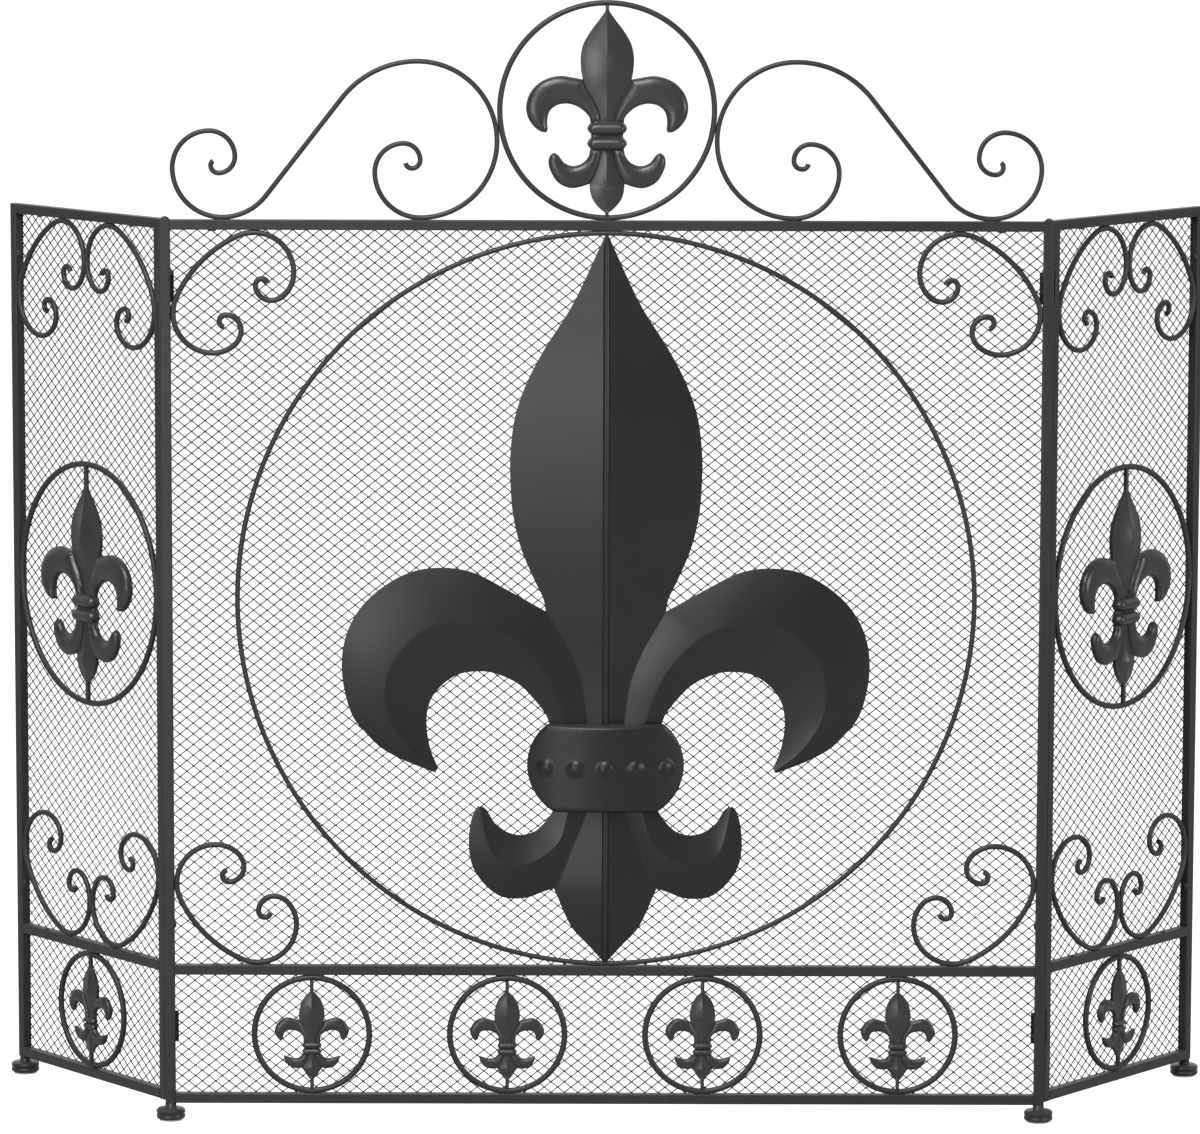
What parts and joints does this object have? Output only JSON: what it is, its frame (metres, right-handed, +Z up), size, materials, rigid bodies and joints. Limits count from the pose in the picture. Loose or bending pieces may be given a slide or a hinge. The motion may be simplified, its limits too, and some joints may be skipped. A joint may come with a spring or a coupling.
{
  "type": "fireplace screen",
  "caption": "Free-standing three-panel fireplace screen with mesh, scrollwork, fleur-de-lis medallion and two wings on butt hinges.",
  "frame": {"origin": "on the floor under the middle of the bounding box", "axes": "+X to the right along the centre panel as seen from the room, +Y back towards the fireplace, +Z up"},
  "size_m": [0.9806, 0.2074, 0.8909],
  "materials": {
    "frame_steel": "satin black powder coat",
    "mesh_wire": "black painted expanded mesh",
    "cast_iron": "black painted casting",
    "pressed_sheet": "satin black painted pressing",
    "hinge_steel": "black painted hinge",
    "glide_pad": "pale plastic pad"
  },
  "bodies": {
    "centre_panel": {"band_fleur_1": "cast_iron", "band_fleur_2": "cast_iron", "band_fleur_3": "cast_iron", "band_fleur_4": "cast_iron", "band_ring_1": "frame_steel", "band_ring_2": "frame_steel", "band_ring_3": "frame_steel", "band_ring_4": "frame_steel", "centre_bottom_rail": "frame_steel", "centre_feet": "frame_steel", "centre_glides": "glide_pad", "centre_hinge_leaves": "hinge_steel", "centre_left_post": "frame_steel", "centre_mesh": "mesh_wire", "centre_middle_rail": "frame_steel", "centre_right_post": "frame_steel", "centre_top_rail": "frame_steel", "corner_scroll_bottom_left": "frame_steel", "corner_scroll_bottom_right": "frame_steel", "corner_scroll_top_left": "frame_steel", "corner_scroll_top_right": "frame_steel", "crest_fleur": "cast_iron", "crest_ring": "frame_steel", "crest_scroll_left": "frame_steel", "crest_scroll_right": "frame_steel", "hinge_pins": "hinge_steel", "medallion_collar": "pressed_sheet", "medallion_fleur": "pressed_sheet", "medallion_ring": "frame_steel", "post_caps": "frame_steel"},
    "left_wing": {"left_wing_bottom_rail": "frame_steel", "left_wing_bottom_scrolls": "frame_steel", "left_wing_fleur": "cast_iron", "left_wing_foot": "frame_steel", "left_wing_glide": "glide_pad", "left_wing_hinge_leaves": "hinge_steel", "left_wing_inner_post": "frame_steel", "left_wing_lower_fleur": "cast_iron", "left_wing_lower_ring": "frame_steel", "left_wing_mesh": "mesh_wire", "left_wing_middle_rail": "frame_steel", "left_wing_outer_post": "frame_steel", "left_wing_ring": "frame_steel", "left_wing_top_rail": "frame_steel", "left_wing_top_scrolls": "frame_steel"},
    "right_wing": {"right_wing_bottom_rail": "frame_steel", "right_wing_bottom_scrolls": "frame_steel", "right_wing_fleur": "cast_iron", "right_wing_foot": "frame_steel", "right_wing_glide": "glide_pad", "right_wing_hinge_leaves": "hinge_steel", "right_wing_inner_post": "frame_steel", "right_wing_lower_fleur": "cast_iron", "right_wing_lower_ring": "frame_steel", "right_wing_mesh": "mesh_wire", "right_wing_middle_rail": "frame_steel", "right_wing_outer_post": "frame_steel", "right_wing_ring": "frame_steel", "right_wing_top_rail": "frame_steel", "right_wing_top_scrolls": "frame_steel"}
  },
  "joints": [
    {"name": "left_wing_swing", "type": "hinge", "parent": "centre_panel", "child": "left_wing", "pos_m": [-0.3517, -0.07673, 0.3665], "axis": [0, 0, -1], "range_deg": [-141.5, 38.5]},
    {"name": "right_wing_swing", "type": "hinge", "parent": "centre_panel", "child": "right_wing", "pos_m": [0.3517, -0.07673, 0.3665], "axis": [0, 0, 1], "range_deg": [-141.5, 38.5]}
  ]
}
